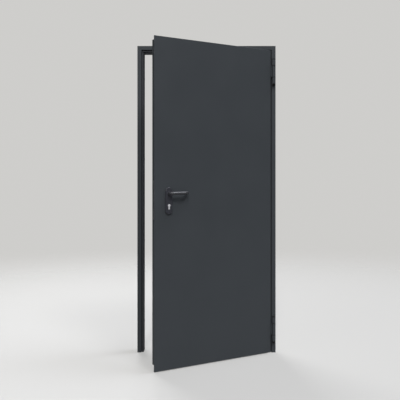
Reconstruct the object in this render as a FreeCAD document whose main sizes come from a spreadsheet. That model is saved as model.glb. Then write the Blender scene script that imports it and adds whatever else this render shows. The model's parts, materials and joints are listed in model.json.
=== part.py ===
import FreeCAD
import Part
import Sketcher
import math
import os

# A steel utility door: a folded corner frame, a leaf with a thin lip, two three-part hinges and a lever lock.
# X runs from the lock side to the hinge side, Y from the front to the back, Z up from the floor.
# X = 0 lies on the hinge axis and Y = 0 on the wall, against the back of the frame's face.

# Driving dimensions in millimetres and degrees
DRIVING = [
    ("frame_width", 920, "outer width of the frame"),
    ("frame_height", 2040, "outer height of the frame above the floor"),
    ("frame_sheet", 2, "sheet thickness of the frame"),
    ("face_width", 27, "width of the face that lies on the wall"),
    ("stop_depth", 12, "depth of the stop behind the wall's surface"),
    ("stop_width", 15, "width of the stop that carries the seal"),
    ("reveal_depth", 88, "depth of the frame behind the wall's surface"),
    ("back_return", 18, "width of the fold at the back of the frame"),
    ("bend_radius", 2.5, "outer radius of the folds"),
    ("seal_width", 10, "width of the rubber seal"),
    ("seal_base", 2, "height of the seal's straight foot"),
    ("fixing_diameter", 11, "hole for a wall bolt"),
    ("fixing_depth", 62, "depth of the wall bolts behind the wall's surface"),
    ("fixing_low", 200, "height of a jamb's lowest wall bolt"),
    ("fixing_drop", 210, "distance from the frame's top down to a jamb's highest wall bolt"),
    ("fixing_inner", 550, "distance between the inner two wall bolts of a jamb"),
    ("open_angle", 30, "how far the leaf stands open"),
    ("lip_gap", 5, "gap between the leaf's lip and the frame's face"),
    ("floor_gap", 5, "gap under the leaf"),
    ("lip_thickness", 5, "thickness of the hemmed lip"),
    ("lip_rounding", 1.5, "rounding of the lip's edges"),
    ("lip_side", 17, "width of the lip at both sides"),
    ("lip_over", 15, "height of the lip over the leaf's body"),
    ("lip_under", 30, "height of the lip under the leaf's body"),
    ("body_depth", 57, "depth of the leaf behind its lip"),
    ("leaf_sheet", 1.5, "sheet thickness of the leaf"),
    ("back_rounding", 1, "rounding of the back sheet's edges"),
    ("edge_sheet", 2, "sheet thickness of the leaf's edge channels"),
    ("edge_flange", 25, "width of the edge channels' flanges"),
    ("hinge_drop", 93, "distance from the frame's top down to the upper hinge"),
    ("hinge_rise", 78, "height of the lower hinge above the floor"),
    ("barrel_diameter", 22, "outer diameter of a hinge"),
    ("barrel_clearance", 1, "gap between a hinge barrel and the frame's face"),
    ("end_knuckle", 40, "height of a frame knuckle"),
    ("middle_knuckle", 72, "height of a leaf knuckle"),
    ("knuckle_chamfer", 0.8, "chamfer at the ends of a knuckle"),
    ("lug_width", 14, "width of the lug behind a frame knuckle"),
    ("wing_sheet", 3, "thickness of a hinge wing"),
    ("ring_height", 4, "height of a bearing ring"),
    ("ring_diameter", 20, "outer diameter of a bearing ring"),
    ("ring_clearance", 0.2, "gap between a leaf knuckle and each ring"),
    ("pin_diameter", 12, "diameter of a hinge pin"),
    ("pin_clearance", 0.1, "gap around a hinge pin"),
    ("pin_cap_diameter", 21, "diameter of a pin's two caps"),
    ("pin_cap_over", 5, "height of the cap on a pin's upper end"),
    ("pin_cap_under", 9, "height of the cap on a pin's lower end"),
    ("pin_rounding", 1.5, "rounding of a pin's caps"),
    ("handle_height", 1067, "height of the lever's axis above the floor"),
    ("lock_spacing", 72, "distance from the lever's axis down to the cylinder"),
    ("backset", 78, "distance from the leaf's lock edge to the lever's axis"),
    ("lock_depth", 28, "depth of the lock's middle behind the lip"),
    ("forend_width", 24, "width of the lock's front plate"),
    ("forend_height", 235, "height of the lock's front plate"),
    ("forend_sheet", 3, "thickness of the lock's front plate"),
    ("forend_drop", 40, "how far the front plate's middle lies below the lever's axis"),
    ("fit_clearance", 0.2, "gap around parts that sit in a cut-out"),
    ("latch_thickness", 12, "thickness of the latch bolt"),
    ("latch_height", 32, "height of the latch bolt"),
    ("latch_proud", 2, "how far the pushed-back latch stands out"),
    ("latch_bevel", 6, "length of the latch bolt's bevel"),
    ("dead_bolt_thickness", 10, "thickness of the dead bolt"),
    ("dead_bolt_height", 36, "height of the dead bolt"),
    ("bolt_length", 40, "length of both bolts inside the leaf"),
    ("slot_clearance", 2, "gap around a thrown bolt in the jamb's slot"),
    ("strike_box_depth", 20, "depth of the box behind the slots"),
    ("strike_box_wall", 1.5, "wall of the box behind the slots"),
    ("strike_box_margin", 6, "margin of the box around the slots"),
    ("plate_width", 45, "width of a handle plate"),
    ("plate_above", 36, "height of a handle plate above the lever's axis"),
    ("plate_below", 54, "length of a handle plate below the cylinder"),
    ("plate_thickness", 9, "thickness of a handle plate"),
    ("plate_rim", 3, "rounding of a handle plate's rim"),
    ("cylinder_diameter", 17, "diameter of the round part of the cylinder"),
    ("cylinder_neck", 10, "width of the flat part of the cylinder"),
    ("cylinder_height", 33, "overall height of the cylinder"),
    ("cylinder_proud", 1, "how far the cylinder stands out of its plates"),
    ("cylinder_clearance", 0.2, "gap around the cylinder"),
    ("keyway_width", 2.4, "width of the keyway"),
    ("keyway_height", 9, "height of the keyway"),
    ("keyway_depth", 12, "depth of the keyway"),
    ("lever_diameter", 19, "diameter of a lever"),
    ("lever_clearance", 0.2, "gap around a lever in its plate"),
    ("lever_reach", 127, "distance from the lever's axis to its far end"),
    ("lever_stand", 38, "distance from the leaf to the middle of the grip"),
    ("lever_bend", 12, "bend radius at a lever's axis, at the middle line"),
    ("lever_curve", 22, "bend radius at a lever's far end, at the middle line"),
    ("lever_return", 8, "distance from the lever's returned end to the leaf"),
    ("lever_end", 6, "rounding of a lever's returned end"),
    ("lever_rise", 1.5, "slope of a lever up to its far end"),
    ("lever_foot", 1, "gap between a lever's foot and the leaf"),
    ("spindle_width", 8, "width of the square spindle"),
    ("spindle_hole", 20, "diameter of the hole for the spindle in the sheets"),
]

# Places worked out from the driving dimensions: X and Y from the hinge axis, Z from the floor
AXIS_STAND = "(sizes.frame_sheet + sizes.barrel_clearance + sizes.barrel_diameter / 2)"
FRAME_RIGHT = "(sizes.face_width / 2)"
FRAME_LEFT = f"({FRAME_RIGHT} - sizes.frame_width)"
REBATE = "(sizes.face_width + sizes.stop_width)"
STOP_RIGHT = f"({FRAME_RIGHT} - {REBATE})"
STOP_LEFT = f"({FRAME_LEFT} + {REBATE})"
STOP_TOP = f"(sizes.frame_height - {REBATE})"
LIP_RIGHT = f"({FRAME_RIGHT} - sizes.face_width - sizes.lip_gap)"
LIP_LEFT = f"({FRAME_LEFT} + sizes.face_width + sizes.lip_gap)"
LIP_TOP = "(sizes.frame_height - sizes.face_width - sizes.lip_gap)"
LIP_BOTTOM = "sizes.floor_gap"
BODY_RIGHT = f"({LIP_RIGHT} - sizes.lip_side)"
BODY_LEFT = f"({LIP_LEFT} + sizes.lip_side)"
BODY_TOP = f"({LIP_TOP} - sizes.lip_over)"
BODY_BOTTOM = f"({LIP_BOTTOM} + sizes.lip_under)"
LEAF_FRONT = f"({AXIS_STAND} - sizes.lip_thickness)"
SHEET_INSIDE = f"({LEAF_FRONT} + sizes.leaf_sheet)"
LIP_BACK = AXIS_STAND
LEAF_BACK = f"({AXIS_STAND} + sizes.body_depth)"
BACK_INSIDE = f"({LEAF_BACK} - sizes.leaf_sheet)"
LOCK_MIDDLE = f"({AXIS_STAND} + sizes.lock_depth)"
SPINDLE_X = f"({BODY_LEFT} + sizes.backset)"
CYLINDER_Z = "(sizes.handle_height - sizes.lock_spacing)"
FOREND_Z = "(sizes.handle_height - sizes.forend_drop)"
HINGE_HEIGHT = "(2 * sizes.end_knuckle + 2 * sizes.ring_height + sizes.middle_knuckle)"
UPPER_HINGE = f"(sizes.frame_height - sizes.hinge_drop - {HINGE_HEIGHT})"
FIXING_HIGH = "(sizes.frame_height - sizes.fixing_drop)"
FIXING_MIDDLE = f"((sizes.fixing_low + {FIXING_HIGH}) / 2)"
FIXING_HEIGHTS = (
    "sizes.fixing_low",
    f"{FIXING_MIDDLE} - sizes.fixing_inner / 2",
    f"{FIXING_MIDDLE} + sizes.fixing_inner / 2",
    FIXING_HIGH,
)

DOC = FreeCAD.newDocument("steel_utility_door")
SIZES = DOC.addObject("Spreadsheet::Sheet", "sizes")
for row, (alias, number, note) in enumerate(DRIVING, start=1):
    SIZES.set(f"A{row}", note)
    SIZES.set(f"B{row}", str(number))
    SIZES.setAlias(f"B{row}", alias)
DOC.recompute()

NODES = []
# Two points closer than this many millimetres are the same point
SAME_POINT = 1e-4


def value(expression):
    return float(SIZES.evalExpression(expression))


def node(label, piece):
    """Name a finished sub-part after its file."""
    piece.Label = label
    NODES.append(piece)
    return piece


def place(piece, x="0", y="0", z="0"):
    for axis, expression in zip("xyz", (x, y, z)):
        piece.setExpression(f"Placement.Base.{axis}", expression)
    return piece


def on_hinge(piece):
    """Set a fixed piece that was drawn about the hinge axis."""
    return place(piece, y=f"-{AXIS_STAND}")


def on_leaf(piece):
    """Set a piece that was drawn about the hinge axis with the leaf shut, and swing it open."""
    piece.Placement = FreeCAD.Placement(
        FreeCAD.Vector(0, 0, 0), FreeCAD.Rotation(FreeCAD.Vector(0, 0, 1), value("sizes.open_angle"))
    )
    piece.setExpression("Placement.Rotation.Angle", "sizes.open_angle")
    return place(piece, y=f"-{AXIS_STAND}")


def span(size, middle, clearance="0"):
    """The two ends of a size about its middle, grown by a clearance at each end."""
    half = f"({size} / 2 + {clearance})"
    return f"{middle} - {half}", f"{middle} + {half}"


def rectangle(across, up):
    return [(across[0], up[0]), (across[1], up[0]), (across[1], up[1]), (across[0], up[1])]


def on_spindle(name, piece):
    """Set a piece that was drawn about the spindle's axis, slope it up and put it on the leaf."""
    piece.Placement = FreeCAD.Placement(
        FreeCAD.Vector(0, 0, 0), FreeCAD.Rotation(FreeCAD.Vector(0, -1, 0), value("sizes.lever_rise"))
    )
    piece.setExpression("Placement.Rotation.Angle", "sizes.lever_rise")
    place(piece, x=SPINDLE_X, z="sizes.handle_height")
    group = DOC.addObject("Part::Compound", name)
    group.Links = [piece]
    return on_leaf(group)


def box(name, x, y, z):
    """A box between two expressions on each axis."""
    piece = DOC.addObject("Part::Box", name)
    for size, (low, high) in zip(("Length", "Width", "Height"), (x, y, z)):
        piece.setExpression(size, f"({high}) - ({low})")
    return place(piece, x[0], y[0], z[0])


ALONG = {
    "x": FreeCAD.Rotation(FreeCAD.Vector(0, 1, 0), 90),
    "y": FreeCAD.Rotation(FreeCAD.Vector(1, 0, 0), -90),
    "z": FreeCAD.Rotation(),
}


def rod(name, direction, diameter, x, y, z):
    """A round bar along one axis, between the two expressions given for that axis."""
    piece = DOC.addObject("Part::Cylinder", name)
    piece.Placement.Rotation = ALONG[direction]
    low, high = {"x": x, "y": y, "z": z}[direction]
    start = {"x": x, "y": y, "z": z, direction: low}
    piece.setExpression("Radius", f"({diameter}) / 2")
    piece.setExpression("Height", f"({high}) - ({low})")
    return place(piece, **start)


def joined(name, pieces):
    piece = DOC.addObject("Part::MultiFuse", name)
    piece.Shapes = pieces
    piece.Refine = True
    return piece


def cut(name, base, tools):
    piece = DOC.addObject("Part::Cut", name)
    piece.Base = base
    piece.Tool = tools[0] if len(tools) == 1 else joined(f"{name}_cutters", tools)
    piece.Refine = True
    return piece


def lies_at(axis, *places):
    """Choose the edges whose points all lie at one of the places on an axis."""
    levels = [value(expression) for expression in places]

    def chosen(edge):
        points = [getattr(vertex.Point, axis) for vertex in edge.Vertexes]
        return any(all(abs(point - level) < SAME_POINT for point in points) for level in levels)

    return chosen


def eased(kind, base, size, chosen):
    """Round or chamfer the chosen edges of a piece."""
    DOC.recompute()
    piece = DOC.addObject(f"Part::{kind}", f"{base.Name}_eased")
    piece.Base = base
    width = value(size)
    edges = [index for index, edge in enumerate(base.Shape.Edges, start=1) if chosen(edge)]
    piece.Edges = [(index, width, width) for index in edges]
    return piece


def sketch_on(body, name, role, offset="0"):
    """A sketch on one of the body's own planes, moved along the plane's normal."""
    sketch = body.newObject("Sketcher::SketchObject", name)
    plane = next(feature for feature in body.Origin.OriginFeatures if feature.Role == role)
    sketch.AttachmentSupport = [(plane, "")]
    sketch.MapMode = "FlatFace"
    sketch.setExpression("AttachmentOffset.Base.z", offset)
    return sketch


def fix_point(sketch, geometry, point, x, y):
    for kind, expression in (("DistanceX", x), ("DistanceY", y)):
        index = sketch.addConstraint(Sketcher.Constraint(kind, -1, 1, geometry, point, value(expression)))
        sketch.setExpression(f"Constraints[{index}]", expression)


def draw_polygon(sketch, corners):
    first = sketch.GeometryCount
    count = len(corners)
    points = [FreeCAD.Vector(value(x), value(y), 0) for x, y in corners]
    for i in range(count):
        sketch.addGeometry(Part.LineSegment(points[i], points[(i + 1) % count]), False)
    for i in range(count):
        following = first + (i + 1) % count
        sketch.addConstraint(Sketcher.Constraint("Coincident", first + i, 2, following, 1))
    for i, (x, y) in enumerate(corners):
        fix_point(sketch, first + i, 1, x, y)


def draw_circle(sketch, x, y, diameter):
    centre = FreeCAD.Vector(value(x), value(y), 0)
    circle = Part.Circle(centre, FreeCAD.Vector(0, 0, 1), value(diameter) / 2)
    index = sketch.addGeometry(circle, False)
    fix_point(sketch, index, 3, x, y)
    size = sketch.addConstraint(Sketcher.Constraint("Diameter", index, value(diameter)))
    sketch.setExpression(f"Constraints[{size}]", diameter)


def prism(name, role, corners, low, high):
    """A body padded from an outline, between two places along the plane's normal."""
    body = DOC.addObject("PartDesign::Body", name)
    outline = sketch_on(body, f"{name}_outline", role, low)
    draw_polygon(outline, corners)
    pad = body.newObject("PartDesign::Pad", f"{name}_pad")
    pad.Profile = outline
    pad.setExpression("Length", f"({high}) - ({low})")
    DOC.recompute()
    return body


def round_folds(body, corners, role):
    """Round the long edges that stand on the given corners of the outline."""
    pad = body.Tip
    keep = {"XY_Plane": (0, 1, 2), "YZ_Plane": (1, 2, 0)}[role]
    places = [(value(x), value(y)) for x, y in corners]
    names = []
    for index, edge in enumerate(pad.Shape.Edges, start=1):
        start, end = edge.Vertexes[0].Point, edge.Vertexes[-1].Point
        across = abs(start[keep[0]] - end[keep[0]]) + abs(start[keep[1]] - end[keep[1]])
        on_corner = any(
            abs(start[keep[0]] - x) + abs(start[keep[1]] - y) < SAME_POINT for x, y in places
        )
        if across < SAME_POINT and on_corner:
            names.append(f"Edge{index}")
    fillet = body.newObject("PartDesign::Fillet", f"{body.Name}_folds")
    fillet.Base = (pad, names)
    fillet.setExpression("Radius", "sizes.bend_radius")
    DOC.recompute()


def pocket_through(body, name, role, draw):
    """Cut what draw() puts on a sketch right through the body, both ways, and make sure that it cuts."""
    before = body.Shape.Volume
    sketch = sketch_on(body, f"{name}_outline", role)
    draw(sketch)
    pocket = body.newObject("PartDesign::Pocket", name)
    pocket.Profile = sketch
    pocket.SideType = "Symmetric"
    pocket.Type = "ThroughAll"
    DOC.recompute()
    if body.Shape.Volume >= before:
        raise RuntimeError(f"{name} cuts nothing")


# The frame's folded section: distance in from the outer edge, and depth behind the wall's surface
def frame_section():
    face, rebate, sheet = "sizes.face_width", REBATE, "sizes.frame_sheet"
    stop, back = "sizes.stop_depth", "sizes.reveal_depth"
    return [
        ("0", f"-{sheet}"),
        (face, f"-{sheet}"),
        (face, stop),
        (rebate, stop),
        (rebate, back),
        (f"{rebate} - sizes.back_return", back),
        (f"{rebate} - sizes.back_return", f"{back} - {sheet}"),
        (f"{rebate} - {sheet}", f"{back} - {sheet}"),
        (f"{rebate} - {sheet}", f"{stop} + {sheet}"),
        (f"{face} - {sheet}", f"{stop} + {sheet}"),
        (f"{face} - {sheet}", "0"),
        ("0", "0"),
    ]


# The outer sides of the section's four folds
FOLDS = (1, 3, 4, 9)


def jamb(label, edge, sign):
    """A jamb whose outer edge is at the given X, with the opening on its sign side."""
    section = [(f"{edge} {sign} ({across})", depth) for across, depth in frame_section()]
    body = prism(label, "XY_Plane", section, "0", "sizes.frame_height")
    round_folds(body, [section[i] for i in FOLDS], "XY_Plane")
    reach = f"({REBATE} + sizes.bend_radius)"
    mitre = [
        (edge, "sizes.frame_height"),
        (f"{edge} {sign} {reach}", "sizes.frame_height"),
        (f"{edge} {sign} {reach}", f"sizes.frame_height - {reach}"),
    ]
    pocket_through(body, f"{label}_mitre", "XZ_Plane", lambda sketch: draw_polygon(sketch, mitre))

    def wall_bolts(sketch):
        for height in FIXING_HEIGHTS:
            draw_circle(sketch, "sizes.fixing_depth", height, "sizes.fixing_diameter")

    pocket_through(body, f"{label}_wall_bolts", "YZ_Plane", wall_bolts)
    return body


LATCH_SLOT = (
    span("sizes.latch_thickness", "sizes.lock_depth", "sizes.slot_clearance"),
    span("sizes.latch_height", "sizes.handle_height", "sizes.slot_clearance"),
)
DEAD_BOLT_SLOT = (
    span("sizes.dead_bolt_thickness", "sizes.lock_depth", "sizes.slot_clearance"),
    span("sizes.dead_bolt_height", CYLINDER_Z, "sizes.slot_clearance"),
)


def frame():
    node("hinge_jamb", jamb("hinge_jamb", FRAME_RIGHT, "-"))
    lock_jamb = node("lock_jamb", jamb("lock_jamb", FRAME_LEFT, "+"))

    def bolt_slots(sketch):
        draw_polygon(sketch, rectangle(*LATCH_SLOT))
        draw_polygon(sketch, rectangle(*DEAD_BOLT_SLOT))

    pocket_through(lock_jamb, "bolt_slots", "YZ_Plane", bolt_slots)

    section = [(depth, f"sizes.frame_height - ({across})") for across, depth in frame_section()]
    head = prism("frame_head", "YZ_Plane", section, FRAME_LEFT, FRAME_RIGHT)
    round_folds(head, [section[i] for i in FOLDS], "YZ_Plane")
    reach = f"({REBATE} + sizes.bend_radius)"

    def mitres(sketch):
        for edge, sign in ((FRAME_LEFT, "+"), (FRAME_RIGHT, "-")):
            draw_polygon(
                sketch,
                [
                    (edge, "sizes.frame_height"),
                    (edge, f"sizes.frame_height - {reach}"),
                    (f"{edge} {sign} {reach}", f"sizes.frame_height - {reach}"),
                ],
            )

    pocket_through(head, "frame_head_mitres", "XZ_Plane", mitres)
    node("frame_head", head)


def seals():
    """A straight foot and a round lip on the stop, with the round bar's back cut off along the stop."""
    width = "sizes.seal_width"
    bulb_y = "sizes.stop_depth - sizes.seal_base"
    foot = (bulb_y, "sizes.stop_depth")
    behind = ("sizes.stop_depth", f"sizes.stop_depth + {width}")
    head_middle = f"{STOP_TOP} + sizes.stop_width / 2"
    upright = ("0", span(width, head_middle)[0])
    for label, stop, sign in (("hinge_jamb_seal", STOP_RIGHT, "+"), ("lock_jamb_seal", STOP_LEFT, "-")):
        middle = f"{stop} {sign} sizes.stop_width / 2"
        across = span(width, middle)
        strip = box(f"{label}_foot", across, foot, upright)
        bulb = rod(f"{label}_bulb", "z", width, middle, bulb_y, upright)
        back = box(f"{label}_back", across, behind, upright)
        node(label, cut(label, joined(f"{label}_whole", [strip, bulb]), [back]))
    ends = (f"{FRAME_LEFT} + sizes.face_width", f"{FRAME_RIGHT} - sizes.face_width")
    up = span(width, head_middle)
    strip = box("head_seal_foot", ends, foot, up)
    bulb = rod("head_seal_bulb", "x", width, ends, bulb_y, head_middle)
    back = box("head_seal_back", ends, behind, up)
    node("head_seal", cut("head_seal", joined("head_seal_whole", [strip, bulb]), [back]))


def strike_box():
    """An open box behind the jamb's bolt slots."""
    wall, margin = "sizes.strike_box_wall", "sizes.strike_box_margin"
    back = f"{STOP_LEFT} - sizes.frame_sheet"
    far = f"{back} - sizes.strike_box_depth"
    front = "sizes.stop_depth + sizes.frame_sheet"
    rear = f"{LATCH_SLOT[0][1]} + {margin}"
    low = f"{DEAD_BOLT_SLOT[1][0]} - {margin}"
    high = f"{LATCH_SLOT[1][1]} + {margin}"
    outside = box("strike_box_outside", (far, back), (front, rear), (low, high))
    inside = box(
        "strike_box_inside",
        (f"{far} + {wall}", back),
        (f"{front} + {wall}", f"{rear} - {wall}"),
        (f"{low} + {wall}", f"{high} - {wall}"),
    )
    node("strike_box", cut("strike_box", outside, [inside]))


def leaf_shell():
    lock_bore = rod(
        "spindle_bore", "y", "sizes.spindle_hole", SPINDLE_X, (LEAF_FRONT, LEAF_BACK), "sizes.handle_height"
    )
    cylinder_bore = cylinder_profile("cylinder_bore", (LEAF_FRONT, LEAF_BACK), "sizes.cylinder_clearance")
    whole = (LIP_LEFT, LIP_RIGHT)
    across = (BODY_LEFT, BODY_RIGHT)
    up = (BODY_BOTTOM, BODY_TOP)
    plate = box("front_plate", whole, (LEAF_FRONT, LIP_BACK), (LIP_BOTTOM, LIP_TOP))
    lipped = eased("Fillet", plate, "sizes.lip_rounding", lambda edge: True)
    tray = box("front_tray", across, (SHEET_INSIDE, LIP_BACK), up)
    node("leaf_front_sheet", on_leaf(cut("leaf_front_sheet", lipped, [tray, lock_bore, cylinder_bore])))
    back = box("back_plate", across, (BACK_INSIDE, LEAF_BACK), up)
    folded = eased("Fillet", back, "sizes.back_rounding", lies_at("y", LEAF_BACK))
    node("leaf_back_sheet", on_leaf(cut("leaf_back_sheet", folded, [lock_bore, cylinder_bore])))

    inside = (SHEET_INSIDE, BACK_INSIDE)
    sheet = "sizes.edge_sheet"
    between_caps = (f"{BODY_BOTTOM} + {sheet}", f"{BODY_TOP} - {sheet}")
    hollow = (f"{SHEET_INSIDE} + {sheet}", f"{BACK_INSIDE} - {sheet}")
    flange = "sizes.edge_flange"
    hinge_channel = box("hinge_channel", (f"{BODY_RIGHT} - {flange}", BODY_RIGHT), inside, between_caps)
    hinge_hollow = box(
        "hinge_hollow", (f"{BODY_RIGHT} - {flange}", f"{BODY_RIGHT} - {sheet}"), hollow, between_caps
    )
    node("leaf_hinge_edge", on_leaf(cut("leaf_hinge_edge", hinge_channel, [hinge_hollow])))
    lock_channel = box("lock_channel", (BODY_LEFT, f"{BODY_LEFT} + {flange}"), inside, between_caps)
    lock_hollow = box(
        "lock_hollow", (f"{BODY_LEFT} + {sheet}", f"{BODY_LEFT} + {flange}"), hollow, between_caps
    )
    forend_seat = box(
        "forend_seat",
        (BODY_LEFT, f"{BODY_LEFT} + sizes.forend_sheet"),
        span("sizes.forend_width", LOCK_MIDDLE, "sizes.fit_clearance"),
        span("sizes.forend_height", FOREND_Z, "sizes.fit_clearance"),
    )
    node("leaf_lock_edge", on_leaf(cut("leaf_lock_edge", lock_channel, [lock_hollow, forend_seat])))

    between_edges = (f"{BODY_LEFT} + {flange}", f"{BODY_RIGHT} - {flange}")
    top_web, top_hang = (f"{BODY_TOP} - {sheet}", BODY_TOP), (f"{BODY_TOP} - {flange}", BODY_TOP)
    low_web, low_hang = (BODY_BOTTOM, f"{BODY_BOTTOM} + {sheet}"), (BODY_BOTTOM, f"{BODY_BOTTOM} + {flange}")
    for label, web, hang in (
        ("leaf_top_cap", top_web, top_hang),
        ("leaf_bottom_cap", low_web, low_hang),
    ):
        pieces = [
            box(f"{label}_web", across, inside, web),
            box(f"{label}_front", between_edges, (SHEET_INSIDE, f"{SHEET_INSIDE} + {sheet}"), hang),
            box(f"{label}_back", between_edges, (f"{BACK_INSIDE} - {sheet}", BACK_INSIDE), hang),
        ]
        node(label, on_leaf(joined(label, pieces)))


def lock():
    clear = "sizes.fit_clearance"
    front = (BODY_LEFT, f"{BODY_LEFT} + sizes.forend_sheet")
    plate = box(
        "forend_plate",
        front,
        span("sizes.forend_width", LOCK_MIDDLE),
        span("sizes.forend_height", FOREND_Z),
    )
    latch_hole = box(
        "latch_hole",
        front,
        span("sizes.latch_thickness", LOCK_MIDDLE, clear),
        span("sizes.latch_height", "sizes.handle_height", clear),
    )
    dead_bolt_hole = box(
        "dead_bolt_hole",
        front,
        span("sizes.dead_bolt_thickness", LOCK_MIDDLE, clear),
        span("sizes.dead_bolt_height", CYLINDER_Z, clear),
    )
    node("lock_forend", on_leaf(cut("lock_forend", plate, [latch_hole, dead_bolt_hole])))

    low, high = span("sizes.latch_thickness", LOCK_MIDDLE)
    tip = f"{BODY_LEFT} - sizes.latch_proud"
    tail = f"{BODY_LEFT} + sizes.bolt_length"
    outline = [
        (tail, low),
        (tail, high),
        (f"{tip} + sizes.latch_bevel", high),
        (tip, f"{low} + sizes.latch_thickness / 2"),
        (tip, low),
    ]
    up = span("sizes.latch_height", "sizes.handle_height")
    node("latch_bolt", on_leaf(prism("latch_bolt", "XY_Plane", outline, *up)))

    outline = rectangle((BODY_LEFT, tail), span("sizes.dead_bolt_thickness", LOCK_MIDDLE))
    up = span("sizes.dead_bolt_height", CYLINDER_Z)
    node("dead_bolt", on_leaf(prism("dead_bolt", "XY_Plane", outline, *up)))


def cylinder_profile(name, ends, clearance):
    """The keyhole-shaped section of the lock cylinder, grown by a clearance."""
    grow = f"2 * {clearance}"
    foot_z = f"{CYLINDER_Z} + sizes.cylinder_diameter / 2 + sizes.cylinder_neck / 2 - sizes.cylinder_height"
    neck = span("sizes.cylinder_neck", SPINDLE_X, clearance)
    return joined(
        name,
        [
            rod(f"{name}_round", "y", f"sizes.cylinder_diameter + {grow}", SPINDLE_X, ends, CYLINDER_Z),
            box(f"{name}_neck", neck, ends, (foot_z, CYLINDER_Z)),
            rod(f"{name}_foot", "y", f"sizes.cylinder_neck + {grow}", SPINDLE_X, ends, foot_z),
        ],
    )


def lock_cylinder():
    proud = "(sizes.plate_thickness + sizes.cylinder_proud)"
    front, back = f"{LEAF_FRONT} - {proud}", f"{LEAF_BACK} + {proud}"
    solid = cylinder_profile("cylinder_whole", (front, back), "0")
    side = span("sizes.keyway_width", SPINDLE_X)
    up = span("sizes.keyway_height", CYLINDER_Z)
    keyways = [
        box("front_keyway", side, (front, f"{front} + sizes.keyway_depth"), up),
        box("back_keyway", side, (f"{back} - sizes.keyway_depth", back), up),
    ]
    node("lock_cylinder", on_leaf(cut("lock_cylinder", solid, keyways)))


def handle_plate(label, ends, rim):
    """A pill-shaped plate between two depths, with its rim rounded at one of them."""
    half = "sizes.plate_width / 2"
    low = f"{CYLINDER_Z} - sizes.plate_below + {half}"
    high = f"sizes.handle_height + sizes.plate_above - {half}"
    side = span("sizes.plate_width", SPINDLE_X)
    pill = joined(
        f"{label}_pill",
        [
            box(f"{label}_middle", side, ends, (low, high)),
            rod(f"{label}_lower_end", "y", "sizes.plate_width", SPINDLE_X, ends, low),
            rod(f"{label}_upper_end", "y", "sizes.plate_width", SPINDLE_X, ends, high),
        ],
    )
    rounded = eased("Fillet", pill, "sizes.plate_rim", lies_at("y", rim))
    bore = rod(
        f"{label}_bore",
        "y",
        "sizes.lever_diameter + 2 * sizes.lever_clearance",
        SPINDLE_X,
        ends,
        "sizes.handle_height",
    )
    keyhole = cylinder_profile(f"{label}_keyhole", ends, "sizes.cylinder_clearance")
    node(label, on_leaf(cut(label, rounded, [bore, keyhole])))


def lever(label, face, out):
    """A round lever about the spindle that stands out of a face, runs to the hinge side and returns."""
    back = {"+": "-", "-": "+"}[out]
    foot = f"{face} {out} sizes.lever_foot"
    grip = f"{face} {out} sizes.lever_stand"
    tip = f"{face} {out} sizes.lever_return"
    far = "sizes.lever_reach - sizes.lever_diameter / 2"
    near_bend = ("sizes.lever_bend", f"{grip} {back} sizes.lever_bend")
    far_bend = (f"{far} - sizes.lever_curve", f"{grip} {back} sizes.lever_curve")
    body = DOC.addObject("PartDesign::Body", f"{label}_bar")
    route = sketch_on(body, f"{label}_route", "XY_Plane")
    runs = [
        (("0", foot), ("0", near_bend[1])),
        ((near_bend[0], grip), (far_bend[0], grip)),
        ((far, far_bend[1]), (far, tip)),
    ]
    for index, ends in enumerate(runs):
        points = [FreeCAD.Vector(value(x), value(y), 0) for x, y in ends]
        route.addGeometry(Part.LineSegment(*points), False)
        for point, (x, y) in enumerate(ends, start=1):
            fix_point(route, index, point, x, y)
    turns = [(near_bend, "sizes.lever_bend"), (far_bend, "sizes.lever_curve")]
    for run, ((centre, radius), angle) in enumerate(zip(turns, {"-": (180, 270), "+": (90, 0)}[out])):
        middle = FreeCAD.Vector(value(centre[0]), value(centre[1]), 0)
        circle = Part.Circle(middle, FreeCAD.Vector(0, 0, 1), value(radius))
        quarter = Part.ArcOfCircle(circle, math.radians(angle), math.radians(angle + 90))
        arc = route.addGeometry(quarter, False)
        meets = [(run, 2), (run + 1, 1)]
        if out == "+":
            meets.reverse()
        for point, (line, line_end) in enumerate(meets, start=1):
            route.addConstraint(Sketcher.Constraint("Coincident", arc, point, line, line_end))
        size = route.addConstraint(Sketcher.Constraint("Radius", arc, value(radius)))
        route.setExpression(f"Constraints[{size}]", radius)
    section = sketch_on(body, f"{label}_section", "XZ_Plane", f"-({foot})")
    draw_circle(section, "0", "0", "sizes.lever_diameter")
    pipe = body.newObject("PartDesign::AdditivePipe", f"{label}_pipe")
    pipe.Profile = section
    pipe.Spine = route
    DOC.recompute()
    at_tip = lies_at("y", tip)
    names = [f"Edge{index}" for index, edge in enumerate(pipe.Shape.Edges, start=1) if at_tip(edge)]
    fillet = body.newObject("PartDesign::Fillet", f"{label}_end")
    fillet.Base = (pipe, names)
    fillet.setExpression("Radius", "sizes.lever_end")
    node(label, on_spindle(label, body))


def handle():
    plate_front = f"{LEAF_FRONT} - sizes.plate_thickness"
    plate_back = f"{LEAF_BACK} + sizes.plate_thickness"
    handle_plate("outside_plate", (plate_front, LEAF_FRONT), plate_front)
    handle_plate("inside_plate", (LEAF_BACK, plate_back), plate_back)
    lever("outside_lever", LEAF_FRONT, "-")
    lever("inside_lever", LEAF_BACK, "+")
    square = span("sizes.spindle_width", "0")
    length = (f"{LEAF_FRONT} - sizes.lever_foot", f"{LEAF_BACK} + sizes.lever_foot")
    bar = prism("spindle_bar", "XY_Plane", rectangle(square, length), *square)
    node("spindle", on_spindle("spindle", bar))


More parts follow.
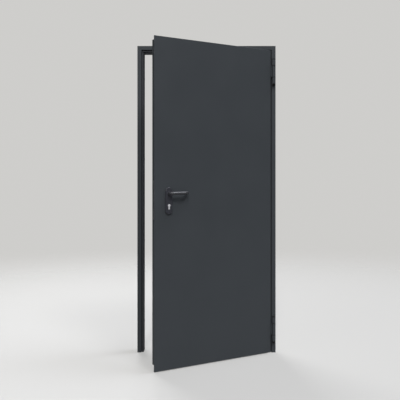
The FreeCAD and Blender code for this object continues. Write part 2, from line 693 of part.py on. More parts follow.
def hinge(label, bottom):
    """A three-part hinge: two frame knuckles, two rings, a pin, and the leaf's knuckle with its wing."""
    bore = "sizes.pin_diameter + 2 * sizes.pin_clearance"
    barrel = "sizes.barrel_diameter"

    def knuckle(name, up):
        bar = rod(f"{label}_{name}_barrel", "z", barrel, "0", "0", up)
        return eased("Chamfer", bar, "sizes.knuckle_chamfer", lies_at("z", *up))

    lower_end = f"{bottom} + sizes.end_knuckle"
    middle_low = f"{lower_end} + sizes.ring_height"
    middle_high = f"{middle_low} + sizes.middle_knuckle"
    upper_end = f"{middle_high} + sizes.ring_height"
    top = f"{bottom} + {HINGE_HEIGHT}"
    bore_rod = rod(f"{label}_bore", "z", bore, "0", "0", (bottom, top))

    lug_width = span("sizes.lug_width", "0")
    face_front = f"{AXIS_STAND} - sizes.frame_sheet"
    knuckles = []
    for name, up in (("lower", (bottom, lower_end)), ("upper", (upper_end, top))):
        lug = box(f"{label}_{name}_lug", lug_width, ("0", face_front), up)
        whole = joined(f"{label}_{name}_whole", [knuckle(name, up), lug])
        knuckles.append(cut(f"{label}_{name}_knuckle", whole, [bore_rod]))
    both = DOC.addObject("Part::Compound", f"{label}_frame_knuckles")
    both.Links = knuckles
    node(f"{label}_frame_knuckles", on_hinge(both))

    rings = []
    for name, up in (("lower", (lower_end, middle_low)), ("upper", (middle_high, upper_end))):
        disc = rod(f"{label}_{name}_disc", "z", "sizes.ring_diameter", "0", "0", up)
        rings.append(cut(f"{label}_{name}_ring", disc, [bore_rod]))
    both = DOC.addObject("Part::Compound", f"{label}_rings")
    both.Links = rings
    node(f"{label}_rings", on_hinge(both))

    cap = "sizes.pin_cap_diameter"
    pin_low, pin_high = f"{bottom} - sizes.pin_cap_under", f"{top} + sizes.pin_cap_over"
    pin = joined(
        f"{label}_pin_whole",
        [
            rod(f"{label}_shank", "z", "sizes.pin_diameter", "0", "0", (bottom, top)),
            rod(f"{label}_lower_cap", "z", cap, "0", "0", (pin_low, bottom)),
            rod(f"{label}_upper_cap", "z", cap, "0", "0", (top, pin_high)),
        ],
    )
    rounded = eased("Fillet", pin, "sizes.pin_rounding", lies_at("z", pin_low, pin_high))
    node(f"{label}_pin", on_hinge(rounded))

    up = (f"{middle_low} + sizes.ring_clearance", f"{middle_high} - sizes.ring_clearance")
    thick = "sizes.wing_sheet"
    outer = f"{LIP_RIGHT} + {thick}"
    arm_back = f"{face_front} - (sizes.lip_gap - {thick})"
    wing = prism(
        f"{label}_wing",
        "XY_Plane",
        [
            ("0", arm_back),
            ("0", f"{arm_back} - {thick}"),
            (LIP_RIGHT, f"{arm_back} - {thick}"),
            (LIP_RIGHT, LIP_BACK),
            (BODY_RIGHT, LIP_BACK),
            (BODY_RIGHT, f"{LIP_BACK} + {thick}"),
            (outer, f"{LIP_BACK} + {thick}"),
            (outer, arm_back),
        ],
        *up,
    )
    whole = joined(f"{label}_leaf_whole", [knuckle("middle", up), wing])
    node(f"{label}_leaf_part", on_leaf(cut(f"{label}_leaf_part", whole, [bore_rod])))


def write_nodes():
    DOC.recompute()
    failed = [
        f"{piece.Name}: {piece.getStatusString()}"
        for piece in DOC.Objects
        if {"Invalid", "Error"} & set(piece.State)
    ]
    if failed:
        raise RuntimeError(f"failed objects: {failed}")
    for piece in NODES:
        if piece.Shape.isNull() or not piece.Shape.isValid() or not piece.Shape.Solids:
            raise RuntimeError(f"{piece.Label} has no valid shape")
    os.makedirs("parts", exist_ok=True)
    for piece in NODES:
        piece.Shape.exportStep(f"parts/{piece.Label}.step")
        print(f"{piece.Label}: {len(piece.Shape.Solids)} solid(s), {piece.Shape.Volume / 1000:.1f} cm3")


frame()
seals()
strike_box()
leaf_shell()
lock()
lock_cylinder()
handle()
hinge("hinge_top", UPPER_HINGE)
hinge("hinge_bottom", "sizes.hinge_rise")
write_nodes()
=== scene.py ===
# %% [markdown]
# # A steel utility door
#
# A sheet-steel door leaf stands open in a slim folded frame. The solids come packed from the CAD
# model, so this lesson doesn't model the door again. It loads the solids, lights them, gives
# every surface a finish, and adds the small parts that a maker fits last: bearing collars,
# cylinder rims, screws and cover caps.

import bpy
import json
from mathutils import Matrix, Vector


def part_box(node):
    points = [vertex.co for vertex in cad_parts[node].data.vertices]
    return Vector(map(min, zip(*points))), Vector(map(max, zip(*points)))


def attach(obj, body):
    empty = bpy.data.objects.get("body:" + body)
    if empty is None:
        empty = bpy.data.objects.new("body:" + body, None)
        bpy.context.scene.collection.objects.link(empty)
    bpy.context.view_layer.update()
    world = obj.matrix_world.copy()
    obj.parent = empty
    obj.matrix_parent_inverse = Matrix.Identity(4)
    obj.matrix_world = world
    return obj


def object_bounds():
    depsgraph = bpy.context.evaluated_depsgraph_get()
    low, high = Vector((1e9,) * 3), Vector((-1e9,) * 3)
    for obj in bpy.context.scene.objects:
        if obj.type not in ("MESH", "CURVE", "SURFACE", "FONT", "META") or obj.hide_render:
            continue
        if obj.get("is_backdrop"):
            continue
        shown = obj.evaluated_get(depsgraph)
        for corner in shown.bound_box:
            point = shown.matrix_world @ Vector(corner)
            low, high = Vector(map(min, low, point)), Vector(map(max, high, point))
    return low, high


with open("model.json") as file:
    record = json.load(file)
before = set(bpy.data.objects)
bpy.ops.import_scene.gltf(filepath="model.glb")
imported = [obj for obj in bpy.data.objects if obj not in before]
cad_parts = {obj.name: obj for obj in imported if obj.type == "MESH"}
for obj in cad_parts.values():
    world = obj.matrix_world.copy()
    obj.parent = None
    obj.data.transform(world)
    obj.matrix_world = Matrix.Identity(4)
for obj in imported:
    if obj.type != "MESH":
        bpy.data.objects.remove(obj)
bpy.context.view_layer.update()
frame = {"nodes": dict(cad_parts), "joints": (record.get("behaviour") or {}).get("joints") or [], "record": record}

# %% The tools that the later cells use
import json
import math

import bmesh
import bpy
from mathutils import Matrix, Vector

MM = 0.001
COLLECTION = bpy.context.scene.collection
print("working in metres, with small sizes given in millimetres")

# %% [markdown]
# ## The leaf's own axes
#
# The leaf stands open, so its faces run along neither X nor Y. The place of each part on it could
# be worked out in turned coordinates. It is easier to place a part as if the leaf were shut,
# measured from the hinge axis, and then to swing it open with the leaf. The hinge joint of the
# record says where the axis is and how far the leaf has come from shut, so one matrix does that.

# %% A matrix from the shut leaf to the open one
JOINTS = {joint["name"]: joint for joint in frame["joints"]}
swing = JOINTS["leaf_swing"]
open_angle = math.radians(-swing["range_deg"][0])
ON_LEAF = Matrix.Translation(swing["pos_m"]) @ Matrix.Rotation(open_angle, 4, "Z")
SPINDLE = ON_LEAF.inverted() @ Vector(JOINTS["lever_turn"]["pos_m"])
print("leaf open by", round(math.degrees(open_angle), 1), "degrees")
print("spindle at", [round(v, 4) for v in SPINDLE], "on the shut leaf")


# %% Measure a solid along the leaf's own axes
def leaf_box(node):
    """Lowest and highest corner of a solid, as if the leaf were shut."""
    back = ON_LEAF.inverted()
    points = [back @ vertex.co for vertex in frame["nodes"][node].data.vertices]
    low = Vector(min(point[axis] for point in points) for axis in range(3))
    high = Vector(max(point[axis] for point in points) for axis in range(3))
    return low, high


for corner in leaf_box("outside_plate"):
    print("corner of the outside plate:", [round(v, 4) for v in corner])

# %% [markdown]
# ## The camera
#
# The door is seen straight on, from a little over half its height, and nothing leans in the
# picture. A camera that is tilted down would make the uprights converge. This one looks level
# along Y, and a small lens shift lowers its frame.

# %% A level camera
LENS, SENSOR_WIDTH = 55.03, 36
EYE = Vector((-0.4915, -4.0725, 1.1467))
LOOK_ASIDE, LOOK_DOWN = 0.0007, -0.0496

camera = bpy.data.objects.new("camera", bpy.data.cameras.new("camera"))
camera.data.lens = LENS
camera.data.sensor_width = SENSOR_WIDTH
camera.data.shift_x = LOOK_ASIDE
camera.data.shift_y = LOOK_DOWN
camera.location = EYE
camera.rotation_euler = (math.radians(90), 0, 0)
COLLECTION.objects.link(camera)
bpy.context.scene.camera = camera
print("camera", round(-EYE.y, 2), "m in front of the wall")

# %% [markdown]
# ## The pale room
#
# The coat of the frame mirrors a little of the room that it stands in. With an even light from
# all sides, the frame's inner faces, which are seen at a grazing angle, would come out too pale.
# So the room is darker behind the doorway, near the horizon: two masks of the direction, one
# along Y and one along Z, multiply to that dark side. The room that the camera sees is one even
# tone, and a Light Path node tells the two apart.

# %% The light that the room gives
ROOM_LIGHT = (0.93, 0.96, 1.0, 1)
ROOM_STRENGTH, DARK_STRENGTH = 0.08, 0.03
DARK_SIDE = [("Y", 0.0, 0.6), ("Z", 0.6, 0.3)]

room = bpy.data.worlds.new("pale_room")
bpy.context.scene.world = room
room.use_nodes = True
nodes, links = room.node_tree.nodes, room.node_tree.links
nodes.clear()
direction = nodes.new("ShaderNodeTexCoord")
split = nodes.new("ShaderNodeSeparateXYZ")
links.new(direction.outputs["Generated"], split.inputs[0])
behind = nodes.new("ShaderNodeMath")
behind.operation = "MULTIPLY"
for number, (axis, lit, dark) in enumerate(DARK_SIDE):
    mask = nodes.new("ShaderNodeMapRange")
    mask.inputs["From Min"].default_value = lit
    mask.inputs["From Max"].default_value = dark
    links.new(split.outputs[axis], mask.inputs["Value"])
    links.new(mask.outputs["Result"], behind.inputs[number])
strength = nodes.new("ShaderNodeMapRange")
strength.inputs["To Min"].default_value = ROOM_STRENGTH
strength.inputs["To Max"].default_value = DARK_STRENGTH
links.new(behind.outputs[0], strength.inputs["Value"])
lighting = nodes.new("ShaderNodeBackground")
lighting.inputs["Color"].default_value = ROOM_LIGHT
links.new(strength.outputs["Result"], lighting.inputs["Strength"])
print("room strength", ROOM_STRENGTH, "and", DARK_STRENGTH, "on its dark side")

# %% The even tone that the camera sees
ROOM_SEEN = (0.62, 0.615, 0.60, 1)

seen = nodes.new("ShaderNodeBackground")
seen.inputs["Color"].default_value = ROOM_SEEN
path = nodes.new("ShaderNodeLightPath")
choice = nodes.new("ShaderNodeMixShader")
output = nodes.new("ShaderNodeOutputWorld")
links.new(path.outputs["Is Camera Ray"], choice.inputs[0])
links.new(lighting.outputs[0], choice.inputs[1])
links.new(seen.outputs[0], choice.inputs[2])
links.new(choice.outputs[0], output.inputs["Surface"])
bpy.context.scene.view_settings.view_transform = "Standard"
print("the camera sees the tone", ROOM_SEEN[:3])

# %% [markdown]
# ## Five lamps
#
# The main lamp stands high in front, square to the open leaf, and throws the lever's soft shadow
# down the leaf. A softbox high on the right draws the bright line along the top of the lever. A
# tall, narrow strip in front shines into the gap beside the hinges, where the other lamps don't
# reach. A fill at the left lightens the shadow that the leaf throws on the lock jamb, and a back
# lamp lights the inside of the door. Near lamps would leave the head brighter than the foot, so
# all but the fill stand far away. One helper aims each of them, because a lamp that is turned by
# hand misses its target as soon as it is moved.

# %% A main lamp that is square to the leaf
DOOR_MIDDLE = (-0.4, -0.2, 1.05)
LAMP_HEIGHT = math.radians(48)
SQUARE_ON = (
    math.sin(open_angle) * math.cos(LAMP_HEIGHT),
    -math.cos(open_angle) * math.cos(LAMP_HEIGHT),
    math.sin(LAMP_HEIGHT),
)


def aim_lamp(name, target, towards, distance, width, height, power):
    """A flat lamp that stands in a direction from its target and looks back at it."""
    towards = Vector(towards).normalized()
    lamp = bpy.data.objects.new(name, bpy.data.lights.new(name, "AREA"))
    lamp.data.shape = "RECTANGLE"
    lamp.data.size = width
    lamp.data.size_y = height
    lamp.data.energy = power
    lamp.location = Vector(target) + towards * distance
    lamp.rotation_mode = "QUATERNION"
    lamp.rotation_quaternion = towards.to_track_quat("Z", "Y")
    COLLECTION.objects.link(lamp)
    print(name, "at", [round(v, 2) for v in lamp.location])
    return lamp


aim_lamp("main_lamp", DOOR_MIDDLE, SQUARE_ON, distance=24, width=5.2, height=5.2, power=2580)

# %% Softbox, strip, fill and back lamp
LEVER_NECK = JOINTS["lever_turn"]["pos_m"]
COOL_WHITE = (0.90, 0.93, 1.0)
HIGH_RIGHT, HIGH_FRONT = (0.45, 0.10, 0.89), (-0.08, -0.72, 0.69)
LEFT, BEHIND = (-0.72, -0.60, 0.34), (-0.30, 0.76, 0.57)

softbox = aim_lamp("softbox", LEVER_NECK, HIGH_RIGHT, distance=24, width=12, height=12, power=5000)
softbox.data.color = COOL_WHITE
aim_lamp("strip", DOOR_MIDDLE, HIGH_FRONT, distance=20, width=1, height=16, power=2250)
aim_lamp("fill", DOOR_MIDDLE, LEFT, distance=6, width=3, height=3, power=50)
aim_lamp("back_lamp", DOOR_MIDDLE, BEHIND, distance=14, width=7, height=7, power=1500)

# %% [markdown]
# ## The floor
#
# A pale disc catches the contact shadows. With a hard rim it would draw a line across the
# picture, so it fades out with distance: the material mixes in a transparent shader where Object
# coordinates say that the centre is far. A little glow, for the camera only, keeps it pale
# without throwing more light up under the frame.

# %% A pale disc
FLOOR_RADIUS, FLOOR_SIDES = 9.0, 96

shape = bmesh.new()
bmesh.ops.create_circle(shape, cap_ends=True, segments=FLOOR_SIDES, radius=FLOOR_RADIUS)
floor_mesh = bpy.data.meshes.new("floor")
shape.to_mesh(floor_mesh)
shape.free()
floor = bpy.data.objects.new("floor", floor_mesh)
COLLECTION.objects.link(floor)
floor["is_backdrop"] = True
print("floor radius", FLOOR_RADIUS, "m")

# %% A floor finish that fades out
FADE_START, FADE_END = 1.6, 7.0
FLOOR_COLOUR = (0.235, 0.233, 0.228, 1)
FLOOR_GLOW = (0.27, 0.267, 0.26, 1)
FLOOR_ROUGHNESS = 0.7

floor_finish = bpy.data.materials.new("pale_floor")
floor_finish.use_nodes = True
nodes, links = floor_finish.node_tree.nodes, floor_finish.node_tree.links
surface = nodes["Principled BSDF"]
surface.inputs["Base Color"].default_value = FLOOR_COLOUR
surface.inputs["Roughness"].default_value = FLOOR_ROUGHNESS
surface.inputs["Emission Color"].default_value = FLOOR_GLOW
path = nodes.new("ShaderNodeLightPath")
links.new(path.outputs["Is Camera Ray"], surface.inputs["Emission Strength"])
coordinates = nodes.new("ShaderNodeTexCoord")
distance = nodes.new("ShaderNodeVectorMath")
distance.operation = "LENGTH"
links.new(coordinates.outputs["Object"], distance.inputs[0])
fade = nodes.new("ShaderNodeMapRange")
fade.interpolation_type = "SMOOTHERSTEP"
fade.inputs["From Min"].default_value = FADE_START
fade.inputs["From Max"].default_value = FADE_END
links.new(distance.outputs["Value"], fade.inputs["Value"])
clear = nodes.new("ShaderNodeBsdfTransparent")
mix = nodes.new("ShaderNodeMixShader")
links.new(fade.outputs["Result"], mix.inputs[0])
links.new(surface.outputs[0], mix.inputs[1])
links.new(clear.outputs[0], mix.inputs[2])
links.new(mix.outputs[0], nodes["Material Output"].inputs["Surface"])
floor_mesh.materials.append(floor_finish)
print("floor fades out from", FADE_START, "to", FADE_END, "m")

# %% [markdown]
# ## Shared surface effects
#
# Powder coat, moulded plastic and rubber differ in colour and gloss, but all have a fine grain
# and a little uneven tone. Zinc and nickel both show fine drawn lines. The nodes for that could
# be repeated in every material. Here each effect is one node group with its own inputs, so that
# every finish only sets its own scales. The groups put out masks and heights, and the shader
# stays in each material.


# %% Start the coat grain group
def start_group(name, inputs, outputs):
    """An empty group with number inputs and outputs, and its two end nodes."""
    group = bpy.data.node_groups.new(name, "ShaderNodeTree")
    for label, number in inputs.items():
        socket = group.interface.new_socket(label, in_out="INPUT", socket_type="NodeSocketFloat")
        socket.default_value = number
    for label in outputs:
        group.interface.new_socket(label, in_out="OUTPUT", socket_type="NodeSocketFloat")
    print(name, "takes", list(inputs), "and gives", outputs)
    return group, group.nodes.new("NodeGroupInput"), group.nodes.new("NodeGroupOutput")


coat_grain, given, made = start_group(
    "coat_grain",
    {"Grain Scale": 700, "Cloud Scale": 6, "Wave Scale": 2},
    ["Grain", "Cloud", "Wave"],
)

# %% Coat grain: a fine grain, a cloudy tone and the slow waves of thin sheet
GRAIN_DETAIL = {"Grain": 2, "Cloud": 5, "Wave": 0}


def add_noise(group, vector, detail, result):
    """A noise along a vector, which goes to one output of the group."""
    noise = group.nodes.new("ShaderNodeTexNoise")
    noise.inputs["Detail"].default_value = detail
    group.links.new(vector, noise.inputs["Vector"])
    group.links.new(noise.outputs[0], result)
    return noise


coordinates = coat_grain.nodes.new("ShaderNodeTexCoord")
for label, detail in GRAIN_DETAIL.items():
    noise = add_noise(coat_grain, coordinates.outputs["Object"], detail, made.inputs[label])
    coat_grain.links.new(given.outputs[f"{label} Scale"], noise.inputs["Scale"])
print("coat_grain has", len(coat_grain.nodes), "nodes")

# %% Drawn lines: a noise that is stretched along Z, and a cloudy tone
LINES_DETAIL, METAL_CLOUD_DETAIL = 3, 4

drawn_lines, given, made = start_group(
    "drawn_lines",
    {"Across Scale": 1500, "Along Scale": 20, "Cloud Scale": 60},
    ["Lines", "Cloud"],
)
coordinates = drawn_lines.nodes.new("ShaderNodeTexCoord")
stretch = drawn_lines.nodes.new("ShaderNodeCombineXYZ")
for axis, label in (("X", "Across Scale"), ("Y", "Across Scale"), ("Z", "Along Scale")):
    drawn_lines.links.new(given.outputs[label], stretch.inputs[axis])
scaled = drawn_lines.nodes.new("ShaderNodeVectorMath")
scaled.operation = "MULTIPLY"
drawn_lines.links.new(coordinates.outputs["Object"], scaled.inputs[0])
drawn_lines.links.new(stretch.outputs[0], scaled.inputs[1])
lines = add_noise(drawn_lines, scaled.outputs[0], LINES_DETAIL, made.inputs["Lines"])
lines.inputs["Scale"].default_value = 1
cloud = add_noise(
    drawn_lines, coordinates.outputs["Object"], METAL_CLOUD_DETAIL, made.inputs["Cloud"]
)
drawn_lines.links.new(given.outputs["Cloud Scale"], cloud.inputs["Scale"])
print("drawn_lines has", len(drawn_lines.nodes), "nodes")

# %% [markdown]
# ## How a finish is put together
#
# A finish starts from a Principled shader. The cloudy mask of its group moves the colour between
# two close tones and the roughness between two close values, and the heights go to a Bump node.
# Heights are real metres, so a grain of a few hundredths of a millimetre stays as fine on the
# model as on the door. What is the same all over the surface, such as the metal, is set on the
# shader itself.

# %% A helper that lets a mask move tone and roughness
CLOUD_LOW, CLOUD_HIGH = 0.3, 0.7


def vary_surface(tree, mask, tones, gloss):
    """Move the shader's colour and roughness between two close values each."""
    surface = tree.nodes["Principled BSDF"]
    tone = tree.nodes.new("ShaderNodeMix")
    tone.data_type = "RGBA"
    tone.inputs["A"].default_value = (*tones[0], 1)
    tone.inputs["B"].default_value = (*tones[1], 1)
    tree.links.new(mask, tone.inputs["Factor"])
    tree.links.new(tone.outputs["Result"], surface.inputs["Base Color"])
    rough = tree.nodes.new("ShaderNodeMapRange")
    rough.inputs["From Min"].default_value = CLOUD_LOW
    rough.inputs["From Max"].default_value = CLOUD_HIGH
    rough.inputs["To Min"].default_value = gloss[0]
    rough.inputs["To Max"].default_value = gloss[1]
    tree.links.new(mask, rough.inputs["Value"])
    tree.links.new(rough.outputs["Result"], surface.inputs["Roughness"])


print("roughness follows the mask from", CLOUD_LOW, "to", CLOUD_HIGH)


# %% A helper that adds heights up to a bump
def emboss(tree, effect, heights):
    """Scale some masks to heights in metres, add them up and bump the shader with the sum."""
    total = None
    for label, height in heights.items():
        layer = tree.nodes.new("ShaderNodeMath")
        layer.operation = "MULTIPLY_ADD"
        layer.inputs[1].default_value = height
        layer.inputs[2].default_value = 0
        tree.links.new(effect.outputs[label], layer.inputs[0])
        if total:
            tree.links.new(total, layer.inputs[2])
        total = layer.outputs[0]
    bump = tree.nodes.new("ShaderNodeBump")
    bump.inputs["Distance"].default_value = 1
    tree.links.new(total, bump.inputs["Height"])
    tree.links.new(bump.outputs["Normal"], tree.nodes["Principled BSDF"].inputs["Normal"])


print("heights are in metres: a twentieth of a millimetre is", 0.05 * MM)

# %% [markdown]
# ## Powder coat
#
# Leaf, frame and hinges are coated in anthracite powder, which bakes to a fine, even grain. A
# flat colour would look like card, and a strong bump like hammered paint, so the grain is kept to
# hundredths of a millimetre. The slow wave of the sheet under it, less than a millimetre, lets
# the light roll a little over the large leaf.


# %% Anthracite powder coat
def make_finish(name, group, scales, tones, gloss, heights, fixed):
    """A Principled material whose tone, roughness and bump come from one of the groups."""
    finish = bpy.data.materials.new(name)
    finish.use_nodes = True
    tree = finish.node_tree
    for label, number in fixed.items():
        tree.nodes["Principled BSDF"].inputs[label].default_value = number
    effect = tree.nodes.new("ShaderNodeGroup")
    effect.node_tree = group
    for label, number in scales.items():
        effect.inputs[label].default_value = number
    vary_surface(tree, effect.outputs["Cloud"], tones, gloss)
    emboss(tree, effect, heights)
    print(name, "has", len(tree.nodes), "nodes")
    return finish


powder_coat = make_finish(
    "anthracite_powder_coat",
    coat_grain,
    scales={"Grain Scale": 650, "Cloud Scale": 5, "Wave Scale": 2.2},
    tones=[(0.0402, 0.0453, 0.0504), (0.0460, 0.0514, 0.0570)],
    gloss=(0.45, 0.53),
    heights={"Grain": 0.05 * MM, "Wave": 0.8 * MM},
    fixed={"Metallic": 0, "Specular IOR Level": 0.18},
)

# %% [markdown]
# ## Black plastic
#
# Handle plates and collars are moulded with a fine texture and slight sink marks. Hands have worn
# the levers smooth, so they have less grain and a more even sheen. Rings and pins of the hinges
# are dull, like most bearing plastic: with a gloss they would mirror the pale floor and no longer
# show as dark lines. One black for all would hide that, so there are three, which share one set
# of scales.

# %% Moulded, worn and dull plastic
PLASTIC_SCALES = {"Grain Scale": 1700, "Cloud Scale": 45, "Wave Scale": 30}

moulded_plastic = make_finish(
    "black_moulded_plastic",
    coat_grain,
    PLASTIC_SCALES,
    tones=[(0.027, 0.028, 0.035), (0.036, 0.037, 0.045)],
    gloss=(0.28, 0.36),
    heights={"Grain": 0.02 * MM, "Wave": 0.05 * MM},
    fixed={"Metallic": 0},
)
worn_plastic = make_finish(
    "worn_black_plastic",
    coat_grain,
    PLASTIC_SCALES,
    tones=[(0.034, 0.035, 0.040), (0.041, 0.042, 0.048)],
    gloss=(0.32, 0.36),
    heights={"Grain": 0.01 * MM},
    fixed={"Metallic": 0},
)
bearing_plastic = make_finish(
    "dull_black_plastic",
    coat_grain,
    PLASTIC_SCALES,
    tones=[(0.004, 0.004, 0.004), (0.007, 0.007, 0.007)],
    gloss=(0.55, 0.65),
    heights={"Grain": 0.02 * MM},
    fixed={"Metallic": 0, "Specular IOR Level": 0.15},
)

# %% [markdown]
# ## Rubber and metal
#
# The seals are dull rubber with a soft, uneven skin. The lock's front plate, its bolts and the
# strike box are zinc plated, and the cylinder is satin nickel: both metals show the lines of
# drawing and brushing. A picture of brushed metal would need a map on every piece, and show its
# seams. A noise that is stretched along one axis needs neither.

# %% Black seal rubber
seal_rubber = make_finish(
    "black_seal_rubber",
    coat_grain,
    scales={"Grain Scale": 1100, "Cloud Scale": 30, "Wave Scale": 12},
    tones=[(0.026, 0.028, 0.032), (0.036, 0.039, 0.044)],
    gloss=(0.66, 0.82),
    heights={"Grain": 0.04 * MM, "Wave": 0.2 * MM},
    fixed={"Metallic": 0},
)

# %% Zinc plate and satin nickel
zinc_plate = make_finish(
    "zinc_plate",
    drawn_lines,
    scales={"Across Scale": 1100, "Along Scale": 14, "Cloud Scale": 70},
    tones=[(0.46, 0.47, 0.48), (0.66, 0.65, 0.61)],
    gloss=(0.30, 0.44),
    heights={"Lines": 0.02 * MM},
    fixed={"Metallic": 1},
)
satin_nickel = make_finish(
    "satin_nickel",
    drawn_lines,
    scales={"Across Scale": 1900, "Along Scale": 60, "Cloud Scale": 120},
    tones=[(0.80, 0.81, 0.83), (0.90, 0.90, 0.91)],
    gloss=(0.56, 0.66),
    heights={"Lines": 0.01 * MM},
    fixed={"Metallic": 1},
)

# %% [markdown]
# ## A finish for every solid
#
# The solids come with the record's material slots, so each slot is swapped for its finish, which
# is surer than a list of all the solids by hand. Only the slot of black plastic covers three
# finishes: levers, rings and pins are picked out by the end of their names.

# %% Give every solid its finish
FINISHES = {
    "anthracite_paint": powder_coat,
    "handle_plastic": moulded_plastic,
    "seal_rubber": seal_rubber,
    "zinc_steel": zinc_plate,
    "nickel_brass": satin_nickel,
}
PLASTIC_BY_ENDING = {"lever": worn_plastic, "rings": bearing_plastic, "pin": bearing_plastic}

for name, node in frame["nodes"].items():
    ending = name.split("_")[-1]
    for slot in node.material_slots:
        slot.material = PLASTIC_BY_ENDING.get(ending, FINISHES[slot.material.name])
print("finished", len(frame["nodes"]), "solids")

# %% [markdown]
# ## Small parts
#
# A small part could be modelled where it sits, but then a second one, facing another way, would
# have to be modelled again. So each is modelled lying flat, its foot at the origin and its
# outside facing +Z, and one matrix carries it to its place. A part that sits on the leaf is first
# turned to face out of the shut leaf, and swung open last.

# %% The four ways that a small part can face
QUARTER_TURN = math.radians(90)
FACING = {
    "front": Matrix.Rotation(QUARTER_TURN, 4, "X"),
    "back": Matrix.Rotation(-QUARTER_TURN, 4, "X"),
    "lock side": Matrix.Rotation(-QUARTER_TURN, 4, "Y"),
    "hinge side": Matrix.Rotation(QUARTER_TURN, 4, "Y"),
}


def on_leaf(facing, x, y, z):
    """The place of a part on the open leaf, from its place on the shut one."""
    return ON_LEAF @ Matrix.Translation((x, y, z)) @ FACING[facing]


print("a small part can face", list(FACING))

# %% A helper that puts a finished shape in the scene
SHARP_ANGLE = 35


def put(name, shape, place, body, slot):
    """Make a piece from a bmesh, set it in its place and let it ride on a body."""
    bmesh.ops.transform(shape, matrix=place, verts=shape.verts[:])
    bmesh.ops.recalc_face_normals(shape, faces=shape.faces[:])
    mesh = bpy.data.meshes.new(name)
    shape.to_mesh(mesh)
    shape.free()
    mesh.shade_smooth()
    mesh.set_sharp_from_angle(angle=math.radians(SHARP_ANGLE))
    mesh.materials.append(FINISHES[slot])
    piece = bpy.data.objects.new(name, mesh)
    COLLECTION.objects.link(piece)
    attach(piece, body)
    print(name, "has", len(mesh.polygons), "faces")


print("edges that turn by more than", SHARP_ANGLE, "degrees stay sharp")

# %% [markdown]
# ## Bearing collars and cylinder rims
#
# A lever turns in a plastic collar that is clipped into its plate, and the plug of the lock
# cylinder shows as a thin raised rim round the keyway. Both are turned rings, so both are a small
# profile that is spun about an axis. Spinning a profile keeps the ring's section the same all
# round, which scaling or cutting a cylinder wouldn't.

# %% A turned ring
RING_STEPS, RING_SEGMENTS = 56, 3
SAME_PLACE = 1e-6


def round_edges(shape, edges, size, segments):
    """Bevel some edges of a bmesh to a round, size in metres."""
    bmesh.ops.bevel(
        shape,
        geom=edges,
        offset=size,
        offset_type="OFFSET",
        affect="EDGES",
        segments=segments,
        profile=0.5,
        material=-1,
    )


def turned_ring(inner, outer, height, rounding):
    """A ring about Z with its two upper edges rounded, sizes in metres."""
    shape = bmesh.new()
    corners = [(inner, 0), (outer, 0), (outer, height), (inner, height)]
    points = [shape.verts.new((x, 0, z)) for x, z in corners]
    for start, end in zip(points, points[1:] + points[:1]):
        shape.edges.new((start, end))
    bmesh.ops.spin(
        shape,
        geom=shape.verts[:] + shape.edges[:],
        cent=(0, 0, 0),
        axis=(0, 0, 1),
        angle=2 * math.pi,
        steps=RING_STEPS,
        use_merge=True,
    )
    bmesh.ops.recalc_face_normals(shape, faces=shape.faces[:])
    upper = [
        edge
        for edge in shape.edges
        if all(abs(vertex.co.z - height) < SAME_PLACE for vertex in edge.verts)
        and abs(edge.verts[0].co.xy.length - edge.verts[1].co.xy.length) < SAME_PLACE
    ]
    round_edges(shape, upper, rounding, RING_SEGMENTS)
    return shape


print("a ring is spun in", RING_STEPS, "steps")

# %% Collars round the lever necks
COLLAR = {"inner": 9.75 * MM, "outer": 13.2 * MM, "height": 2.6 * MM, "rounding": 1.1 * MM}
outside_front = leaf_box("outside_plate")[0].y
inside_low, inside_high = leaf_box("inside_plate")

for name, facing, y in (
    ("outside_collar", "front", outside_front),
    ("inside_collar", "back", inside_high.y),
):
    place = on_leaf(facing, SPINDLE.x, y, SPINDLE.z)
    put(name, turned_ring(**COLLAR), place, "leaf", "handle_plastic")

# %% Rims round the keyways
RIM = {"inner": 5.2 * MM, "outer": 6.9 * MM, "height": 0.5 * MM, "rounding": 0.2 * MM}
cylinder_low, cylinder_high = leaf_box("lock_cylinder")
plug_radius = (cylinder_high.x - cylinder_low.x) / 2
plug_z = cylinder_high.z - plug_radius

for name, facing, y in (
    ("outside_plug_rim", "front", cylinder_low.y),
    ("inside_plug_rim", "back", cylinder_high.y),
):
    place = on_leaf(facing, SPINDLE.x, y, plug_z)
    put(name, turned_ring(**RIM), place, "leaf", "nickel_brass")

# %% [markdown]
# ## Screws
#
# The inside plate and the lock's front plate are held by screws with a low head and a cross
# recess. The cross could be painted on a disc, or cut out of it with a boolean, which leaves
# ragged faces. Here a flat grid makes the head: its middle row and column are pushed in for the
# cross, and each square ring of the grid is drawn to a circle. The rim is then extruded down to a
# wall, which is closed at its foot, and bevelled.

# %% A cross-head screw
GRID_CELLS, CROSS_REACH = 9, 2
RECESS_DEPTH, RECESS_TAPER = 0.55, 0.75
SCREW_ROUNDING, SCREW_SEGMENTS = 0.3 * MM, 2


def new_points(extruded):
    """The vertices that an extrusion made."""
    return [item for item in extruded["geom"] if isinstance(item, bmesh.types.BMVert)]


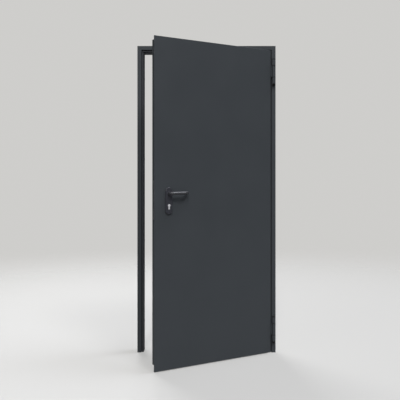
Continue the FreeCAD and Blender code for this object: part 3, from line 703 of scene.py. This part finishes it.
def cross_screw(diameter, height):
    """A screw head about Z with a cross recess, sizes in metres."""
    shape = bmesh.new()
    bmesh.ops.create_grid(shape, x_segments=GRID_CELLS, y_segments=GRID_CELLS, size=diameter / 2)
    cell = diameter / GRID_CELLS
    cross = []
    for face in shape.faces:
        middle = face.calc_center_median()
        on_arm = min(abs(middle.x), abs(middle.y)) < cell / 2
        if on_arm and middle.length < (CROSS_REACH + 0.5) * cell:
            cross.append(face)
    for vertex in shape.verts:
        reach = max(abs(vertex.co.x), abs(vertex.co.y))
        vertex.co = vertex.co.normalized() * reach
    recess = new_points(bmesh.ops.extrude_face_region(shape, geom=cross))
    bmesh.ops.delete(shape, geom=cross, context="FACES")
    bmesh.ops.translate(shape, verts=recess, vec=(0, 0, -height * RECESS_DEPTH))
    bmesh.ops.scale(shape, verts=recess, vec=(RECESS_TAPER, RECESS_TAPER, 1))
    rim = [edge for edge in shape.edges if edge.is_boundary]
    wall = new_points(bmesh.ops.extrude_edge_only(shape, edges=rim))
    bmesh.ops.translate(shape, verts=wall, vec=(0, 0, -height))
    bmesh.ops.edgeloop_fill(shape, edges=[edge for edge in shape.edges if edge.is_boundary])
    round_edges(shape, rim, SCREW_ROUNDING, SCREW_SEGMENTS)
    bmesh.ops.translate(shape, verts=shape.verts[:], vec=(0, 0, height))
    return shape


print("a screw head starts from", GRID_CELLS**2, "squares")

# %% Screws in the inside plate and in the lock's front plate
SCREW_HEAD, SCREW_PROUD = 8.4 * MM, 0.6 * MM
UPPER_SCREW, LOWER_SCREW = 26 * MM, 15 * MM
FOREND_MARGIN = 10 * MM
forend_low, forend_high = leaf_box("lock_forend")
forend_x, forend_y = forend_low.x, (forend_low.y + forend_high.y) / 2

for name, facing, x, y, z in (
    ("inside_plate_screw_upper", "back", SPINDLE.x, inside_high.y, SPINDLE.z + UPPER_SCREW),
    ("inside_plate_screw_lower", "back", SPINDLE.x, inside_high.y, inside_low.z + LOWER_SCREW),
    ("forend_screw_upper", "lock side", forend_x, forend_y, forend_high.z - FOREND_MARGIN),
    ("forend_screw_lower", "lock side", forend_x, forend_y, forend_low.z + FOREND_MARGIN),
):
    place = on_leaf(facing, x, y, z)
    put(name, cross_screw(SCREW_HEAD, SCREW_PROUD), place, "leaf", "zinc_steel")

# %% [markdown]
# ## Cover caps
#
# The frame is bolted through its reveal, and after fitting, each hole is closed with a low
# plastic cap in the colour of the frame. A plain disc would look cut from card. So a cap is a
# short cone: its middle is inset and dished, and its rim is bevelled to a soft edge that catches
# the light. The record's bolt patterns say where the holes are.

# %% A dished cap
CAP_SIDES, CAP_SEGMENTS = 40, 3
CAP_LAND, CAP_SLOPE = 0.16, 0.05
CAP_DISH, CAP_ROUNDING = 0.2, 0.35


def cover_cap(diameter, height):
    """A low dished cap about Z, sizes in metres."""
    shape = bmesh.new()
    bmesh.ops.create_cone(
        shape,
        cap_ends=True,
        segments=CAP_SIDES,
        radius1=diameter / 2,
        radius2=diameter / 2 - height / 2,
        depth=height,
    )
    bmesh.ops.translate(shape, verts=shape.verts[:], vec=(0, 0, height / 2))
    top = max(shape.faces, key=lambda face: face.calc_center_median().z)
    rim = list(top.edges)
    for width, depth in ((CAP_LAND, 0), (CAP_SLOPE, -CAP_DISH)):
        bmesh.ops.inset_region(
            shape, faces=[top], thickness=diameter * width, depth=height * depth
        )
    round_edges(shape, rim, height * CAP_ROUNDING, CAP_SEGMENTS)
    return shape


print("a cap has", CAP_SIDES, "sides")

# %% Caps over the frame's bolt holes
CAP_DIAMETER, CAP_HEIGHT = 16 * MM, 2.2 * MM
REVEALS = {
    "hinge_jamb": ("lock side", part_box("hinge_jamb")[0].x),
    "lock_jamb": ("hinge side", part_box("lock_jamb")[1].x),
}

for mount in frame["record"]["mounts"]:
    if mount["kind"] != "bolt_pattern":
        continue
    facing, x = REVEALS[mount["name"].split("_jamb_")[0] + "_jamb"]
    middle = Vector(mount["pos_m"])
    half = mount["dims"]["spacing_y_mm"] * MM / 2
    for end, z in (("upper", middle.z + half), ("lower", middle.z - half)):
        name = mount["name"].replace("bolts", "cap") + "_" + end
        place = Matrix.Translation((x, middle.y, z)) @ FACING[facing]
        put(name, cover_cap(CAP_DIAMETER, CAP_HEIGHT), place, "frame", "anthracite_paint")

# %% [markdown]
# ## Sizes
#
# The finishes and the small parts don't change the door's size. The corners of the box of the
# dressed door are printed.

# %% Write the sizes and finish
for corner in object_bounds():
    print("corner of the dressed door:", [round(v, 4) for v in corner])
